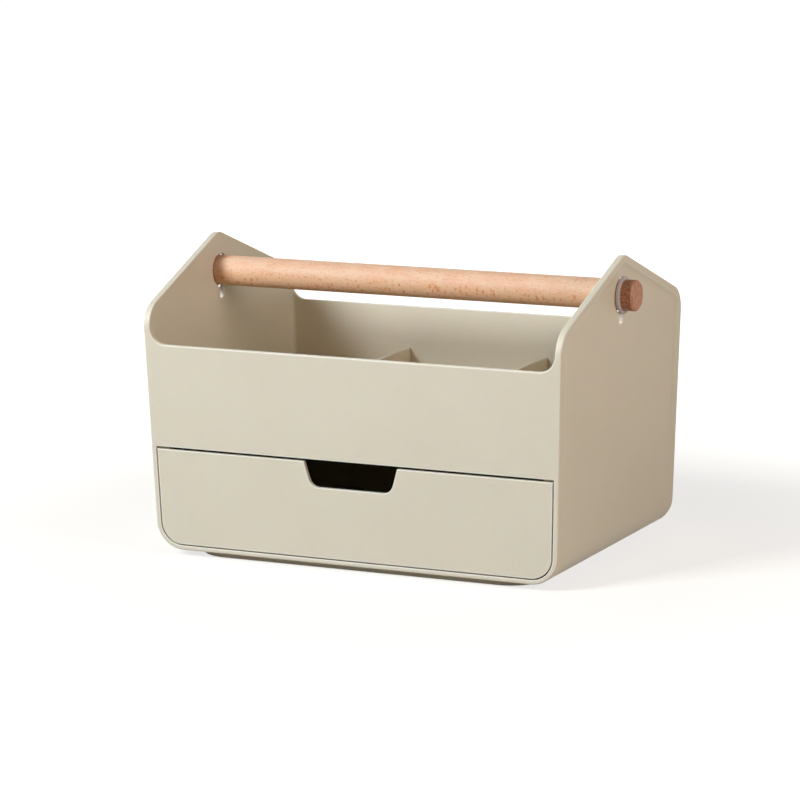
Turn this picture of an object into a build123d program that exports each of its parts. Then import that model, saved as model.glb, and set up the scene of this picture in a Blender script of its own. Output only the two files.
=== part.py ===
from build123d import *
import math
import os

# A carry box with an open tray above one full-width drawer and a dowel handle through its gabled ends.
# X runs across the width, the drawer opens towards -Y, Z is up, and the box stands on Z = 0. Sizes in mm.

# Outside of the moulded box: width and depth are measured where the front and back walls end
rim_width = 293.5
rim_depth = 202.2
rim_height = 140.4
end_lean = 1.95
face_lean = 1.52
roof_angle = 20.95
ridge_shift = 1.5
shoulder_start = 9.3
shoulder_radius = 18.0
apex_radius = 14.5
bottom_radius = 18.8
edge_radius = 1.1

# Walls of the box
end_wall = 3.4
gable_wall = 4.5
face_wall = 3.0
floor_wall = 2.9
tray_corner = 3.0
notch_radius = 11.0
lip_radius = 0.9
root_depth = 1.0

# Shallow panel sunk into the outside of each end wall: deepest at the handle, fading out near the floor
panel_recess = 1.8
panel_border = 5.0
panel_side_border = 7.0
panel_fade_height = 27.0
panel_blend = 9.0

# Bay that the drawer slides in, and the ledge above it that carries the tray floor
bay_height = 65.5
bay_edge = 0.3
ledge_width = 3.0
ledge_thick = 2.0

# Tray floor and its two lift-out dividers
tray_floor_thick = 2.4
tray_floor_clearance = 0.3
divider_offset = 51.3
divider_thick = 1.8
divider_height = 34.5
divider_end_clearance = 0.4
divider_side_clearance = 0.15
divider_edge = 0.5
rib_thick = 1.4
rib_height = 6.0
rib_end_gap = 8.0

# Drawer
drawer_gap = 0.9
drawer_top_gap = 1.7
drawer_back_clearance = 1.5
drawer_wall = 2.2
drawer_front_wall = 2.8
drawer_floor_wall = 2.2
drawer_side_drop = 5.9
drawer_edge = 0.3
pull_top_width = 66.4
pull_floor_width = 56.6
pull_depth = 16.6
pull_radius = 7.5

# Runners under the drawer, and the stop that ends its travel
runner_offset = 95.0
runner_width = 4.0
runner_clearance = 0.1
runner_end_gap = 6.0
drawer_travel = 140.0
stop_clearance = 0.3
stop_rib_depth = 2.0
stop_rib_drop = 2.9
stop_rib_width = 8.0
stop_rib_gap = 0.6
stop_tab_length = 6.0
stop_tab_head = 0.3

# Dowel handle, its flanged bushes and their holes
handle_drop = 26.6
dowel_diameter = 20.0
dowel_stand_out = 8.5
dowel_chamfer = 1.2
bush_wall = 1.42
bush_running_clearance = 0.08
bush_flange_reach = 0.4
bush_flange_thick = 1.9
bush_play = 0.9
bush_neck_length = 2.7
bush_flange_edge = 0.4
slit_width = 4.9
slit_drop = 19.4
slit_radius = 1.8

# Ring foot under the floor
foot_height = 4.4
foot_end_inset = 1.5
foot_face_inset = 7.6
foot_corner = 24.0
foot_wall = 3.0
foot_edge = 0.6

# Heights that follow from the sizes above, from the floor of the bay up to the tray
bay_floor = foot_height + floor_wall
bay_top = bay_floor + bay_height
tray_floor_low = bay_top + ledge_thick
tray_floor_top = tray_floor_low + tray_floor_thick
drawer_low = bay_floor + drawer_gap
drawer_top = bay_top - drawer_top_gap
drawer_side_top = drawer_top - drawer_side_drop


def half_width(z):
    """Half of the outside width of the box at height z."""
    return rim_width / 2 + (z - rim_height) * math.tan(math.radians(end_lean))


def half_depth(z):
    """Half of the outside depth of the box at height z."""
    return rim_depth / 2 + (z - rim_height) * math.tan(math.radians(face_lean))


# Heights of the gable: the shoulder's rounding starts a little below the end of the notch's rounding
shoulder_turn = math.radians(90 - roof_angle + face_lean)
shoulder_drop = shoulder_radius * math.tan(shoulder_turn / 2) * math.cos(math.radians(face_lean))
shoulder_height = rim_height + shoulder_start + shoulder_drop
apex_height = shoulder_height + math.tan(math.radians(roof_angle)) * half_depth(shoulder_height)
handle_height = apex_height - handle_drop

# The ridge stands a little in front of the middle, so the front of the roof is a little steeper than the back
front_slope = (apex_height - shoulder_height) / (half_depth(shoulder_height) - ridge_shift)
back_slope = (apex_height - shoulder_height) / (half_depth(shoulder_height) + ridge_shift)

# Where the flange of each bush starts and ends, and the hole that its neck turns in
flange_start = half_width(handle_height) - panel_recess + bush_play
flange_end = flange_start + bush_flange_thick
hole_radius = dowel_diameter / 2 + bush_wall + bush_running_clearance

# A length that is sure to pass right through the box, for cutters
reach = rim_width + rim_depth + apex_height


def across(points, half_length):
    """A prism along X, centred on X = 0, with an outline of (y, z) points."""
    return extrude(Plane.YZ * Polygon(*points, align=None), amount=half_length, both=True)


def leaning_section(inset, low, high, corner=0):
    """The (x, z) outline between the leaning end walls, set in, with its two lower corners rounded."""
    low_side = half_width(low) - inset
    high_side = half_width(high) - inset
    points = [(-low_side, low), (low_side, low), (high_side, high), (-high_side, high)]
    outline = Polygon(*points, align=None)
    if corner > 0:
        outline = fillet(outline.vertices().sort_by(Axis.Y)[:2], corner)
    return Plane.XZ * outline


def between_faces(front_inset, back_inset, low, high):
    """A very wide prism that fills the box's depth, set in from the outside of its front and back."""
    points = [(front_inset - half_depth(low), low), (half_depth(low) - back_inset, low)]
    points += [(half_depth(high) - back_inset, high), (front_inset - half_depth(high), high)]
    return across(points, reach)


def tapered_block(low, high, end_inset, face_inset):
    """A block with the lean of the box's walls, set in from its outside."""
    between_ends = extrude(leaning_section(end_inset, low, high), amount=reach, both=True)
    return between_ends & between_faces(face_inset, face_inset, low, high)


def outside_edges(body):
    """The sharp edges round both ends and along the bottom of the front and back."""
    by_x = body.faces().sort_by(Axis.X)
    by_y = body.faces().sort_by(Axis.Y)
    edges = ShapeList()
    for face in (by_x[0], by_x[-1], by_y[0], by_y[-1]):
        edges += face.edges()
    smooth = edges.filter_by(Axis.Y) + edges.filter_by(Axis.X).filter_by_position(Axis.Z, rim_height, reach)
    return ShapeList(set(edges) - set(smooth))


def make_outer_body():
    """The solid that the walls are cut from: leaning sides, gabled top and rounded bottom."""
    body = tapered_block(foot_height, apex_height + shoulder_radius, 0, 0)
    front_eave = apex_height - front_slope * (reach - ridge_shift)
    back_eave = apex_height - back_slope * (reach + ridge_shift)
    roof = [(reach, back_eave), (-ridge_shift, apex_height), (-reach, front_eave)]
    body &= across([(-reach, -reach), (reach, -reach)] + roof, reach)
    ridges = body.edges().filter_by(Axis.X).sort_by(Axis.Z)
    body = fillet(ridges[-3:-1], shoulder_radius)
    body = fillet(body.edges().filter_by(Axis.X).sort_by(Axis.Z)[-1:], apex_radius)
    body = fillet(body.edges().filter_by(Axis.Y), bottom_radius)
    return fillet(outside_edges(body), edge_radius)


def upright_edges(block):
    """The four corner edges of a block whose sides lean a little."""
    return block.edges() - block.edges().filter_by(Axis.X) - block.edges().filter_by(Axis.Y)


def make_tray_cutter():
    """The open tray, and the opening over the front and back walls with its rounded lower corners."""
    high = apex_height + shoulder_radius
    cavity = tapered_block(tray_floor_low, high, gable_wall, face_wall)
    cavity = fillet(upright_edges(cavity), tray_corner)
    opening = leaning_section(gable_wall, rim_height, high, notch_radius)
    return cavity + extrude(opening, amount=reach, both=True)


def edges_on(faces, edges):
    """The edges whose middle lies on one of the faces."""
    return ShapeList([e for e in edges if min(f.distance_to(Vertex(e @ 0.5)) for f in faces) < 0.001])


def make_bay_cutter():
    """The drawer's bay, open at the front, and the well inside the ledge that the tray floor covers."""
    section = leaning_section(end_wall, bay_floor, bay_top, bottom_radius - end_wall)
    bay = extrude(section, amount=reach, both=True) & between_faces(-reach / 2, face_wall, 0, reach)
    low, high = bay_top - ledge_thick, tray_floor_low + ledge_thick
    return bay + tapered_block(low, high, gable_wall + ledge_width, face_wall + ledge_width)


def make_panel_cutter():
    """The shallow panel of the +X end wall, with a soft rounded step along its top and sides."""
    rise = handle_height - panel_fade_height
    run = half_width(handle_height) - panel_recess - half_width(panel_fade_height)
    panel_plane = Plane(
        origin=(half_width(handle_height) - panel_recess, 0, handle_height),
        x_dir=(0, 1, 0),
        z_dir=(rise, 0, -run),
    )
    blend_run = panel_blend - math.sqrt(panel_recess * (2 * panel_blend - panel_recess))
    side = half_depth(shoulder_height) - panel_side_border + blend_run
    foot_side = half_depth(0) - panel_side_border + blend_run
    ridge = apex_height - (panel_border - blend_run) * math.hypot(1, front_slope)
    front_eave = ridge - front_slope * (side - ridge_shift)
    back_eave = ridge - back_slope * (side + ridge_shift)
    points = [(-foot_side, 0), (foot_side, 0), (side, back_eave), (-ridge_shift, ridge), (-side, front_eave)]
    outline = Polygon(*[(y, z - handle_height) for y, z in points], align=None)
    top = outline.vertices().sort_by(Axis.Y)[2:]
    outline = fillet(top.sort_by(Axis.Y)[:2], shoulder_radius - panel_border)
    outline = fillet(outline.vertices().sort_by(Axis.Y)[-1:], apex_radius - panel_border)
    cutter = extrude(panel_plane * outline, amount=2 * panel_blend)
    floor_face = cutter.faces().sort_by(Axis.X)[0]
    seams = floor_face.edges() - floor_face.edges().filter_by(Axis.Y)
    return fillet(seams, panel_blend)


def make_handle_hole():
    """The hole for a bush through both end walls, with the slit below it."""
    hole = Rot(0, 90, 0) * Cylinder(hole_radius, reach)
    slit = Rectangle(slit_width, slit_drop, align=(Align.CENTER, Align.MAX))
    slit = fillet(slit.vertices().sort_by(Axis.Y)[:2], slit_radius)
    cutter = hole + extrude(Plane.YZ * slit, amount=reach / 2, both=True)
    return Pos(0, -ridge_shift, handle_height) * cutter


def make_runner(x):
    """One rail on the bay's floor."""
    length = 2 * (half_depth(bay_floor) - face_wall - runner_end_gap)
    height = drawer_gap - runner_clearance
    return Pos(x, 0, bay_floor) * Box(runner_width, length, height, align=(Align.CENTER, Align.CENTER, Align.MIN))


def stop_rib_back():
    """The y of the back of the stop ribs behind the front wall."""
    return drawer_front_wall + stop_rib_gap + stop_rib_depth - half_depth(bay_top)


def make_stop_rib(side):
    """A rib under the ledge, behind the front wall, that catches the drawer's stop tab."""
    outer = half_width(bay_top - stop_rib_drop) - end_wall + root_depth
    align = (Align.MAX, Align.MAX, Align.MIN)
    rib = Box(stop_rib_width + root_depth, stop_rib_depth, stop_rib_drop + root_depth, align=align)
    rib = Pos(outer, stop_rib_back(), bay_top - stop_rib_drop) * rib
    return rib if side > 0 else mirror(rib, about=Plane.YZ)


def make_housing():
    """The moulded box: gabled ends, front and back walls, floor, ledge, runners and stop ribs."""
    outer = make_outer_body()
    tray_cutter = make_tray_cutter()
    housing = outer - tray_cutter
    lip = edges_on(outer.faces(), new_edges(outer, tray_cutter, combined=housing))
    housing = fillet(lip, lip_radius)
    bay_cutter = make_bay_cutter()
    opened = housing - bay_cutter
    front = housing.faces().filter_by_position(Axis.Y, -reach, -half_depth(foot_height))
    housing = fillet(edges_on(front, new_edges(housing, bay_cutter, combined=opened)), bay_edge)
    panel = make_panel_cutter()
    housing = housing - panel - mirror(panel, about=Plane.YZ) - make_handle_hole()
    for side in (-1, 1):
        housing += make_runner(side * runner_offset)
        housing += make_stop_rib(side)
    return housing


def make_tray_floor():
    """The plate that parts the tray from the drawer, with a pair of low ribs for each divider."""
    end_inset, face_inset = gable_wall + tray_floor_clearance, face_wall + tray_floor_clearance
    plate = tapered_block(tray_floor_low, tray_floor_top, end_inset, face_inset)
    plate = fillet(upright_edges(plate), tray_corner)
    rib_length = 2 * (half_depth(tray_floor_top) - face_wall - rib_end_gap)
    rib = Box(rib_thick, rib_length, rib_height, align=(Align.CENTER, Align.CENTER, Align.MIN))
    spread = divider_thick / 2 + divider_side_clearance + rib_thick / 2
    for side in (-1, 1):
        for flank in (-1, 1):
            plate += Pos(side * divider_offset + flank * spread, 0, tray_floor_top) * rib
    return plate


def make_divider(side):
    """A plate that stands between two ribs of the tray floor and reaches to the front and back walls."""
    low, high = tray_floor_top, tray_floor_top + divider_height
    inset = face_wall + divider_end_clearance
    points = [(inset - half_depth(low), low), (half_depth(low) - inset, low)]
    points += [(half_depth(high) - inset, high), (inset - half_depth(high), high)]
    plate = across(points, divider_thick / 2)
    top_edges = plate.faces().sort_by(Axis.Z)[-1].edges().filter_by(Axis.Y)
    return Pos(side * divider_offset, 0, 0) * fillet(top_edges, divider_edge)


def make_pull_cutter():
    """The finger notch at the top of the drawer front."""
    top = drawer_top + drawer_top_gap
    floor = drawer_top - pull_depth
    flare = (pull_top_width - pull_floor_width) / 2 / pull_depth * (top - drawer_top)
    half_top = pull_top_width / 2 + flare
    points = [(-pull_floor_width / 2, floor), (pull_floor_width / 2, floor), (half_top, top), (-half_top, top)]
    outline = Polygon(*points, align=None)
    outline = fillet(outline.vertices().sort_by(Axis.Y)[:2], pull_radius)
    cutter = extrude(Plane.XZ * outline, amount=reach)
    return cutter - between_faces(2 * drawer_front_wall, 0, 0, reach)


def make_stop_tab(side):
    """An upright tab on the drawer's side wall that meets the stop rib at the end of the travel."""
    front = stop_rib_back() + drawer_travel + stop_clearance
    low = drawer_side_top - drawer_wall
    outer = half_width(low) - end_wall - drawer_gap
    align = (Align.MAX, Align.MIN, Align.MIN)
    height = drawer_top - stop_tab_head - low
    tab = Pos(outer, front, low) * Box(drawer_wall, stop_tab_length, height, align=align)
    return tab if side > 0 else mirror(tab, about=Plane.YZ)


def make_drawer():
    """One moulding: a tub with lowered sides behind a full-height front with a finger notch."""
    inset = end_wall + drawer_gap
    corner = bottom_radius - inset
    back_inset = face_wall + drawer_back_clearance
    block = extrude(leaning_section(inset, drawer_low, drawer_top, corner), amount=reach, both=True)
    block &= between_faces(0, back_inset, 0, reach)
    section = leaning_section(inset + drawer_wall, drawer_low + drawer_floor_wall, reach, corner - drawer_wall)
    hollow = extrude(section, amount=reach, both=True)
    hollow &= between_faces(drawer_front_wall, back_inset + drawer_wall, 0, 2 * reach)
    above_sides = between_faces(drawer_front_wall, -drawer_wall, drawer_side_top, reach)
    drawer = block - hollow - above_sides - make_pull_cutter()
    front_edges = drawer.faces().sort_by(Axis.Y)[0].edges()
    drawer = fillet(front_edges, drawer_edge)
    for side in (-1, 1):
        drawer += make_stop_tab(side)
    return drawer


def make_handle_dowel():
    """The plain round dowel that the box is carried by."""
    dowel = Rot(0, 90, 0) * Cylinder(dowel_diameter / 2, 2 * (flange_end + dowel_stand_out))
    dowel = chamfer(dowel.edges().filter_by(GeomType.CIRCLE), dowel_chamfer)
    return Pos(0, -ridge_shift, handle_height) * dowel


def make_bush(side):
    """A flanged sleeve on the dowel: its neck turns in the end wall's hole, its flange keeps it from passing."""
    bore = dowel_diameter / 2
    neck_radius = bore + bush_wall
    flange_radius = hole_radius + bush_flange_reach
    start = flange_start - bush_neck_length
    points = [(start, bore), (start, neck_radius), (flange_start, neck_radius), (flange_start, flange_radius)]
    points += [(flange_end, flange_radius), (flange_end, bore)]
    bush = revolve(Plane.XY * Polygon(*points, align=None), axis=Axis.X)
    rims = bush.edges().filter_by(GeomType.CIRCLE).sort_by(SortBy.RADIUS)[-2:]
    bush = Pos(0, -ridge_shift, handle_height) * fillet(rims, bush_flange_edge)
    return bush if side > 0 else mirror(bush, about=Plane.YZ)


def make_foot_ring():
    """The low ring that the box stands on: its ends stand just where the floor starts to round upwards."""
    foot_width = 2 * (half_width(foot_height) - bottom_radius - foot_end_inset)
    foot_depth = 2 * (half_depth(foot_height) - foot_face_inset)
    outline = RectangleRounded(foot_width, foot_depth, foot_corner)
    outline -= RectangleRounded(foot_width - 2 * foot_wall, foot_depth - 2 * foot_wall, foot_corner - foot_wall)
    ring = extrude(outline, amount=foot_height)
    return fillet(ring.faces().sort_by(Axis.Z)[0].edges(), foot_edge)


parts = {
    "housing": make_housing(),
    "foot_ring": make_foot_ring(),
    "tray_floor": make_tray_floor(),
    "divider_left": make_divider(-1),
    "divider_right": make_divider(1),
    "drawer": make_drawer(),
    "handle_dowel": make_handle_dowel(),
    "bush_left": make_bush(-1),
    "bush_right": make_bush(1),
}

os.makedirs("parts", exist_ok=True)
for name, part in parts.items():
    export_step(part, f"parts/{name}.step")
    print(name, "volume", round(part.volume), "solids", len(part.solids()), "valid", part.is_valid)
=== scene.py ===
import math

import bpy
from mathutils import Matrix, Vector


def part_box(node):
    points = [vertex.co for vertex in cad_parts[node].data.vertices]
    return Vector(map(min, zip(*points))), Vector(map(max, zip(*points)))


# A drawer storage box of cream moulded plastic with a beech dowel handle, on a pale floor.
# Metres and radians, except where a name or comment says otherwise.
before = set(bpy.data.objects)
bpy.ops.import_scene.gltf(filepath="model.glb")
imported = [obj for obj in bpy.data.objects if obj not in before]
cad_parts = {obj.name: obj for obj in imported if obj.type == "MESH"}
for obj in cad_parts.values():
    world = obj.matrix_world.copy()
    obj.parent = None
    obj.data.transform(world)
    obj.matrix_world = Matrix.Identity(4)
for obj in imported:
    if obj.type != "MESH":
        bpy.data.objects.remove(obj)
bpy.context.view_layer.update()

MM = 0.001

# Camera: its view direction, its roll, and the point that it looks at, as an offset from the box's middle
camera_yaw = math.radians(25.766)
camera_pitch = math.radians(10.778)
camera_roll = math.radians(-0.692)
camera_distance = 2.3989
camera_middle = Vector((0, 0, 0.0965))
camera_aside = -10.746 * MM
camera_above = -0.533 * MM
camera_lens_mm = 164.02
sensor_width_mm = 36
view_limit = 100

# Soft lamps: azimuth from the front towards +X and elevation in degrees, power in watts
lamps = {
    "key": dict(azimuth=-29, elevation=33, distance=2.6, size=0.8, power=77.5, color=(0.81, 0.90, 1.0)),
    "fill": dict(azimuth=76, elevation=17, distance=1.6, size=0.7, power=11.0, color=(1.0, 0.92, 0.86)),
    "back": dict(azimuth=-150, elevation=12, distance=1.8, size=0.9, power=7.0, color=(1.0, 0.95, 0.88)),
}
surround_color = (1.0, 0.78, 0.58, 1)
surround_strength = 0.038
white = (1, 1, 1, 1)
floor_color = (0.36, 0.325, 0.275, 1)
floor_glow = 0.72
floor_fade_start = 0.20
floor_fade_end = 0.60
floor_size = 12.0

# Colours of the materials, as linear values
cream = (0.70, 0.620, 0.475, 1)
cream_mottle = (0.69, 0.61, 0.465, 1)
# The pale cream of the painted highlight along rounded edges
cream_painted_highlight = (0.93, 0.90, 0.83, 1)
beech_light = (0.83, 0.53, 0.34, 1)
beech_pink = (0.80, 0.43, 0.26, 1)
beech_gold = (0.78, 0.43, 0.21, 1)
beech_ray = (0.66, 0.20, 0.05, 1)
beech_dash = (0.66, 0.29, 0.13, 1)
beech_end = (0.46, 0.20, 0.115, 1)
beech_grain = (0.74, 0.44, 0.30, 1)
# The dark of the end grain's pores, also painted shade on the stubs past the bushes; the colour after it is
# the deeper painted shade there
beech_pore_and_stub_shade = (0.40, 0.15, 0.072, 1)
beech_stub_deep_shade = (0.19, 0.052, 0.021, 1)
bush_color = (0.60, 0.53, 0.56, 1)
bush_pale = (0.62, 0.56, 0.58, 1)

# The plastic: sizes of its mottling, its mould grain and the slow waves of its surface
mottle_size = 45 * MM
grain_size = 0.45 * MM
wave_size = 60 * MM
wave_depth = 0.25 * MM
wave_strength = 0.6
grain_in_wave = 0.03
plastic_rough_low = 0.46
plastic_rough_high = 0.56
scatter_share = 0.3
scatter_radius = (1.0, 0.45, 0.2)
scatter_depth = 4.0 * MM

# Rounded edges with a painted highlight and a little polish: how wide they are, the cosine of bend where
# they start and where they are full, how much the painted highlight lightens them and how much roughness
# they lose
edge_reach = 1.5 * MM
edge_bend_start = 0.988
edge_bend_full = 0.90
edge_highlight_tint = 0.85
edge_polish = 0.14

# The dowel's wood: how far the line to the tree's heart leans, and the sizes of rings, marks and fibres
handle_axis = sum(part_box("handle_dowel"), Vector()) / 2
handle_radius = (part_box("handle_dowel")[1].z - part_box("handle_dowel")[0].z) / 2
radial_tilt = math.radians(-23)
heart_distance = 70 * MM
ring_width = 2.4 * MM
ray_size = Vector((1.5, 0.6, 3.4)) * MM
dash_size = Vector((2.6, 0.75, 0.8)) * MM
blob_size = Vector((2.0, 1.8, 3.6)) * MM
end_line_size = Vector((40.0, 0.45, 5.0)) * MM
# The size of the mottling in the stubs' painted shade
stub_mottle_size = Vector((2.4, 1.1, 1.5)) * MM
fibre_size = Vector((5.0, 0.22, 0.22)) * MM
pore_size = 0.35 * MM
sway_size = 9 * MM
sway_reach = 1.2 * MM
cloud_size = 5 * MM
curl_size = 3 * MM
curl_reach = 0.5 * MM
fibre_depth = 0.05 * MM

# How many of the places hold a mark, and how strongly each mark colours the wood
dash_share = 0.8
ray_share = 0.35
blob_share = 0.2
dash_tint = 0.45
mark_tint = 0.70
ring_tint = 0.22
flank_tint = 0.7
fibre_tint = 0.55
# How strongly the painted shade darkens the stubs past the bushes
stub_shade_tint = 0.8
end_line_tint = 0.65

# The bush: how far from its inner face the clear neck turns milky, and how opaque each of them is
milk_start = 2.5 * MM
milk_full = 2.7 * MM
neck_opacity = 0.03
flange_opacity = 0.85


class Shader:
    """A node material under construction, with its Principled shader as surface."""

    def __init__(self, name):
        self.material = bpy.data.materials.new(name)
        self.material.use_nodes = True
        self.tree = self.material.node_tree
        self.surface = self.tree.nodes["Principled BSDF"]
        self.output = self.tree.nodes["Material Output"]

    def node(self, kind, inputs=None, **settings):
        made = self.tree.nodes.new("ShaderNode" + kind)
        for key, value in settings.items():
            setattr(made, key, value)
        for key, value in (inputs or {}).items():
            self.feed(made.inputs[key], value)
        return made

    def feed(self, socket, value):
        if isinstance(value, bpy.types.NodeSocket):
            self.tree.links.new(value, socket)
        else:
            socket.default_value = value

    def set(self, **inputs):
        """Feeds the surface shader: underscores in a name stand for spaces."""
        for key, value in inputs.items():
            self.feed(self.surface.inputs[key.replace("_", " ")], value)

    def position(self):
        return self.node("TexCoord").outputs["Object"]

    def math(self, operation, first, second=0.0):
        return self.node("Math", {0: first, 1: second}, operation=operation).outputs[0]

    def vector(self, operation, first, second=(0, 0, 0)):
        return self.node("VectorMath", {0: first, 1: second}, operation=operation).outputs["Vector"]

    def length(self, vector):
        return self.node("VectorMath", {0: vector}, operation="LENGTH").outputs["Value"]

    def noise(self, place, size, detail=2.0, roughness=0.5):
        """Noise from 0 to 1, whose lumps are about size metres across."""
        inputs = {"Vector": place, "Scale": 1 / size, "Detail": detail, "Roughness": roughness}
        return self.node("TexNoise", inputs).outputs["Fac"]

    def cells(self, place):
        """Distance to the nearest of scattered points one unit apart, and a random value for each point."""
        made = self.node("TexVoronoi", {"Vector": place, "Scale": 1.0, "Randomness": 1.0})
        return made.outputs["Distance"], self.node("SeparateColor", {0: made.outputs["Color"]}).outputs[0]

    def step(self, value, low, high, from_low=0.0, from_high=1.0):
        """A smooth step of value between low and high, mapped to the other two numbers."""
        inputs = {"Value": value, "From Min": low, "From Max": high, "To Min": from_low, "To Max": from_high}
        return self.node("MapRange", inputs, interpolation_type="SMOOTHSTEP").outputs["Result"]

    def mix(self, factor, first, second):
        made = self.node("Mix", data_type="RGBA")
        self.feed(made.inputs[0], factor)
        self.feed(made.inputs[6], first)
        self.feed(made.inputs[7], second)
        return made.outputs[2]

    def bump(self, height, depth, strength):
        """A normal from a height field that goes depth metres deep."""
        inputs = {"Height": height, "Distance": depth, "Strength": strength}
        return self.node("Bump", inputs).outputs["Normal"]


def highlight_and_polish_edge(shader):
    """1 on rounded edges and 0 on flat faces, from how far the surface bends within edge_reach; it places
    the painted edge highlight and the polish.
    """
    rounded = shader.node("Bevel", {"Radius": edge_reach}, samples=4).outputs[0]
    true_normal = shader.node("NewGeometry").outputs["Normal"]
    bend = shader.node("VectorMath", {0: rounded, 1: true_normal}, operation="DOT_PRODUCT").outputs["Value"]
    return shader.step(bend, edge_bend_start, edge_bend_full)


def make_plastic(name, shift):
    """Matte moulded plastic: a fine even grain from the mould, soft mottling, and slightly polished edges
    with a painted highlight.
    The shift, in metres, gives each moulding its own place in the pattern."""
    shader = Shader(name)
    place = shader.vector("ADD", shader.position(), (shift, 0, 0))
    mottle = shader.noise(place, mottle_size, detail=3)
    color = shader.mix(shader.step(mottle, 0.35, 0.70), cream, cream_mottle)
    edge = highlight_and_polish_edge(shader)
    # Painted highlight: the rounded edges are lightened towards a pale cream
    color = shader.mix(shader.math("MULTIPLY", edge, edge_highlight_tint), color, cream_painted_highlight)
    grain = shader.noise(place, grain_size, detail=3, roughness=0.65)
    rough = shader.step(grain, 0.2, 0.8, plastic_rough_low, plastic_rough_high)
    rough = shader.math("SUBTRACT", rough, shader.math("MULTIPLY", edge, edge_polish))
    wave = shader.noise(place, wave_size, detail=1)
    height = shader.math("ADD", shader.math("MULTIPLY", grain, grain_in_wave), wave)
    normal = shader.bump(height, wave_depth, wave_strength)
    shader.set(Base_Color=color, Roughness=rough, Normal=normal, IOR=1.5)
    shader.set(Subsurface_Weight=scatter_share, Subsurface_Radius=scatter_radius)
    shader.set(Subsurface_Scale=scatter_depth)
    return shader.material


def ray_field(shader, place, size, share):
    """A mask of scattered flat plates about as large as size, in the given share of the places for one."""
    distance, chance = shader.cells(shader.vector("DIVIDE", place, size))
    radius = shader.step(chance, 1 - share, 1.0, -0.1, 0.55)
    return shader.step(shader.math("SUBTRACT", radius, distance), -0.06, 0.08)


def late_wood(shader, place, across, radial):
    """How near the surface is to the dense end of a yearly ring, from 0 to 1. The rings sway a little."""
    sway = shader.noise(shader.vector("MULTIPLY", place, (0.2, 1, 1)), sway_size, detail=2)
    sway = shader.math("MULTIPLY", shader.math("SUBTRACT", sway, 0.5), sway_reach)
    from_heart = shader.math("ADD", radial, heart_distance)
    squares = shader.math("ADD", shader.math("POWER", across, 2.0), shader.math("POWER", from_heart, 2.0))
    distance = shader.math("ADD", shader.math("SQRT", squares), sway)
    in_ring = shader.math("FRACT", shader.math("DIVIDE", distance, ring_width))
    return shader.math("POWER", in_ring, 3.0)


def end_grain(shader, place):
    """The colour of the dowel's cut ends: pores, with pale lines towards the heart."""
    pore, _ = shader.cells(shader.vector("DIVIDE", place, (pore_size,) * 3))
    color = shader.mix(shader.step(pore, 0.10, 0.45), beech_pore_and_stub_shade, beech_end)
    lines = shader.noise(shader.vector("DIVIDE", place, end_line_size), 1.0, detail=2)
    return shader.mix(shader.step(lines, 0.50, 0.60, 0.0, end_line_tint), color, beech_grain)


def painted_stub_shade(shader, place, along, color):
    """The wood's colour, with painted shade on the stubs that stand out past the bushes: darker and mottled.
    """
    stub_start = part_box("bush_right")[1].x
    fade = (stub_start - 0.5 * MM, stub_start + 1.0 * MM)
    # Painted shade: the stubs past the bushes are darkened towards a mottled brown
    stub = shader.step(shader.math("ABSOLUTE", along), *fade, 0.0, stub_shade_tint)
    stub_mottle = shader.noise(shader.vector("DIVIDE", place, stub_mottle_size), 1.0, detail=2)
    stub_shade_color = shader.mix(shader.step(stub_mottle, 0.40, 0.58), beech_stub_deep_shade, beech_pore_and_stub_shade)
    return shader.mix(stub, color, stub_shade_color)


def make_beech():
    """Beech: yearly rings about a heart far below, rays as thin plates, and fibres along the dowel."""
    shader = Shader("beech")
    place = shader.vector("SUBTRACT", shader.position(), handle_axis)
    turn = {"Vector": place, "Angle": radial_tilt}
    place = shader.node("VectorRotate", turn, rotation_type="X_AXIS").outputs[0]
    along, across, radial = shader.node("SeparateXYZ", {0: place}).outputs
    late = late_wood(shader, place, across, radial)

    flank = shader.step(shader.math("ABSOLUTE", across), 0.75 * handle_radius, 0.98 * handle_radius)
    fibre = shader.noise(shader.vector("DIVIDE", place, fibre_size), 1.0, detail=3, roughness=0.6)
    cloud = shader.noise(shader.vector("MULTIPLY", place, (0.3, 1, 1)), cloud_size, detail=2)
    color = shader.mix(shader.step(cloud, 0.35, 0.65), beech_light, beech_pink)
    color = shader.mix(shader.math("MULTIPLY", flank, flank_tint), color, beech_gold)
    color = shader.mix(shader.step(fibre, 0.30, 0.70, 0.0, fibre_tint), color, beech_light)
    color = shader.mix(shader.math("MULTIPLY", late, ring_tint), color, beech_pink)

    curl = shader.math("MULTIPLY", shader.noise(place, curl_size, detail=1), curl_reach)
    curled = {0: along, 1: shader.math("ADD", across, curl), 2: radial}
    bent = shader.node("CombineXYZ", curled).outputs[0]
    dashes = shader.math("MULTIPLY", ray_field(shader, bent, dash_size, dash_share), dash_tint)
    color = shader.mix(dashes, color, beech_dash)
    rays = shader.math("MULTIPLY", ray_field(shader, bent, ray_size, ray_share), flank)
    blobs = shader.math("MULTIPLY", ray_field(shader, bent, blob_size, blob_share), flank)
    marks = shader.math("MULTIPLY", shader.math("MAXIMUM", rays, blobs), mark_tint)
    color = shader.mix(marks, color, beech_ray)

    # Painted shade on the stubs past the bushes
    color = painted_stub_shade(shader, place, along, color)
    normal_x = shader.node("SeparateXYZ", {0: shader.node("TexCoord").outputs["Normal"]}).outputs[0]
    end = shader.step(shader.math("ABSOLUTE", normal_x), 0.45, 0.65)
    color = shader.mix(end, color, end_grain(shader, place))
    height = shader.math("SUBTRACT", fibre, shader.math("MULTIPLY", marks, 0.4))
    shader.set(Base_Color=color, Normal=shader.bump(height, fibre_depth, 0.6), IOR=1.45)
    shader.set(Roughness=shader.step(fibre, 0.2, 0.8, 0.60, 0.70))
    return shader.material


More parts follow.
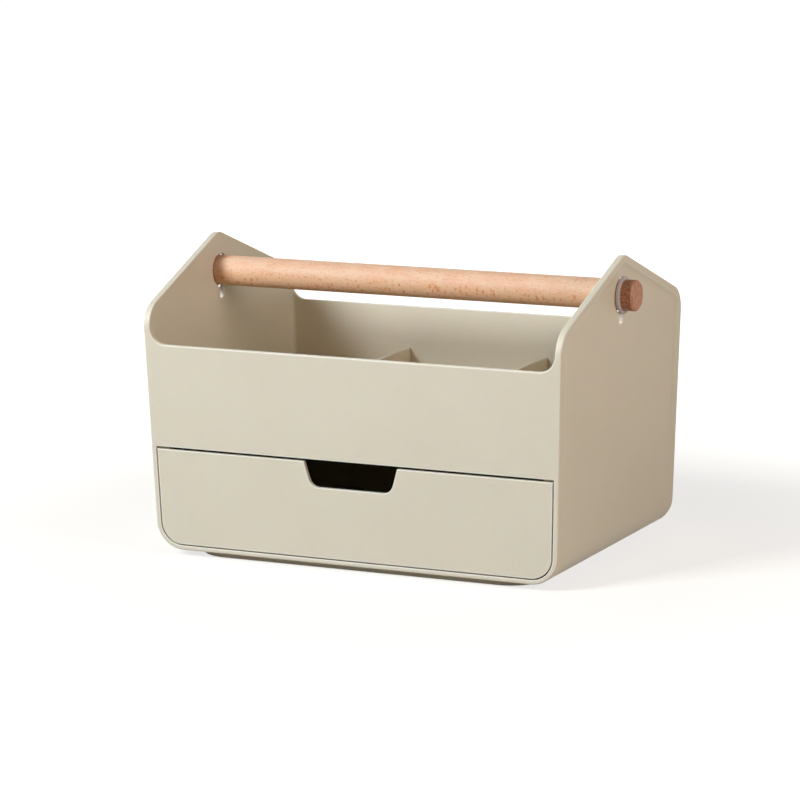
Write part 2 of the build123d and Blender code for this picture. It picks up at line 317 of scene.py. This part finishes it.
def make_bush():
    """Soft translucent plastic, milky in the flange and clear in the thin neck."""
    shader = Shader("clear_bush")
    place = shader.position()
    outward = shader.math("ABSOLUTE", shader.node("SeparateXYZ", {0: place}).outputs[0])
    inner_face = max(abs(x) for x in (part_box("bush_right")[0].x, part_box("bush_left")[1].x))
    change = (inner_face + milk_start, inner_face + milk_full)
    milk = shader.step(outward, *change, neck_opacity, flange_opacity)
    haze = shader.noise(place, 2.5 * MM, detail=2)
    shader.set(Base_Color=shader.mix(haze, bush_color, bush_pale), Alpha=milk)
    shader.set(Roughness=shader.step(haze, 0.3, 0.7, 0.48, 0.58), IOR=1.45)
    return shader.material


def dress(nodes, material):
    """Gives the CAD nodes a material in place of their plain one."""
    for node in nodes:
        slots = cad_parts[node].data.materials
        slots.clear()
        slots.append(material)


def make_camera():
    """The camera that sees the box as in the photograph."""
    back = Vector((
        math.sin(camera_yaw) * math.cos(camera_pitch),
        -math.cos(camera_yaw) * math.cos(camera_pitch),
        math.sin(camera_pitch),
    ))
    level_right = Vector((0, 0, 1)).cross(back).normalized()
    level_up = back.cross(level_right)
    right = math.cos(camera_roll) * level_right + math.sin(camera_roll) * level_up
    up = math.cos(camera_roll) * level_up - math.sin(camera_roll) * level_right
    place = camera_middle + camera_aside * level_right + camera_above * level_up + camera_distance * back
    data = bpy.data.cameras.new("camera")
    data.lens = camera_lens_mm
    data.sensor_width = sensor_width_mm
    data.clip_end = view_limit
    camera = bpy.data.objects.new("camera", data)
    camera.matrix_world = Matrix.Translation(place) @ Matrix((right, up, back)).transposed().to_4x4()
    bpy.context.scene.collection.objects.link(camera)
    bpy.context.scene.camera = camera


def make_lamp(name, azimuth, elevation, distance, size, power, color):
    """A square soft lamp that shines at the middle of the box."""
    azimuth, elevation = math.radians(azimuth), math.radians(elevation)
    level = math.cos(elevation)
    direction = Vector((math.sin(azimuth) * level, -math.cos(azimuth) * level, math.sin(elevation)))
    data = bpy.data.lights.new(name, "AREA")
    data.shape = "SQUARE"
    data.size = size
    data.energy = power
    data.color = color
    lamp = bpy.data.objects.new(name, data)
    lamp.location = camera_middle + direction * distance
    lamp.rotation_mode = "QUATERNION"
    lamp.rotation_quaternion = direction.to_track_quat("Z", "Y")
    bpy.context.scene.collection.objects.link(lamp)


def backdrop_rays(tree):
    """1 for rays from the camera, in reflections and through clear things, else 0."""
    path = tree.nodes.new("ShaderNodeLightPath")
    seen = path.outputs["Is Camera Ray"]
    for other in ("Is Glossy Ray", "Is Transmission Ray"):
        either = tree.nodes.new("ShaderNodeMath")
        either.operation = "MAXIMUM"
        tree.links.new(seen, either.inputs[0])
        tree.links.new(path.outputs[other], either.inputs[1])
        seen = either.outputs[0]
    return seen


def make_world():
    """An even warm surround as light, and plain white where it is seen."""
    world = bpy.data.worlds.new("surround")
    bpy.context.scene.world = world
    world.use_nodes = True
    tree = world.node_tree
    tree.nodes.clear()
    lights = tree.nodes.new("ShaderNodeBackground")
    lights.inputs["Color"].default_value = surround_color
    lights.inputs["Strength"].default_value = surround_strength
    shows = tree.nodes.new("ShaderNodeBackground")
    shows.inputs["Color"].default_value = white
    choice = tree.nodes.new("ShaderNodeMixShader")
    tree.links.new(backdrop_rays(tree), choice.inputs[0])
    tree.links.new(lights.outputs[0], choice.inputs[1])
    tree.links.new(shows.outputs[0], choice.inputs[2])
    output = tree.nodes.new("ShaderNodeOutputWorld")
    tree.links.new(choice.outputs[0], output.inputs["Surface"])


def make_floor():
    """A pale matte floor that shows as white where nothing shades it."""
    half = floor_size / 2
    corners = [(-half, -half, 0), (half, -half, 0), (half, half, 0), (-half, half, 0)]
    mesh = bpy.data.meshes.new("floor")
    mesh.from_pydata(corners, [], [(0, 1, 2, 3)])
    floor = bpy.data.objects.new("floor", mesh)
    bpy.context.scene.collection.objects.link(floor)
    shader = Shader("floor")
    shader.set(Base_Color=floor_color, Roughness=1.0, Specular_IOR_Level=0.0, Emission_Color=white)
    far = shader.length(shader.position())
    glow = shader.step(far, floor_fade_start, floor_fade_end, floor_glow, 1.0)
    shader.set(Emission_Strength=shader.math("MULTIPLY", backdrop_rays(shader.tree), glow))
    mesh.materials.append(shader.material)


dress(["housing", "foot_ring", "tray_floor"], make_plastic("cream_plastic", 0.0))
dress(["drawer"], make_plastic("cream_plastic_drawer", 1.0))
dress(["divider_left", "divider_right"], make_plastic("cream_plastic_dividers", 2.0))
dress(["handle_dowel"], make_beech())
dress(["bush_left", "bush_right"], make_bush())
make_floor()
make_world()
for name, values in lamps.items():
    make_lamp(name, **values)
make_camera()
bpy.context.scene.view_settings.view_transform = "Standard"
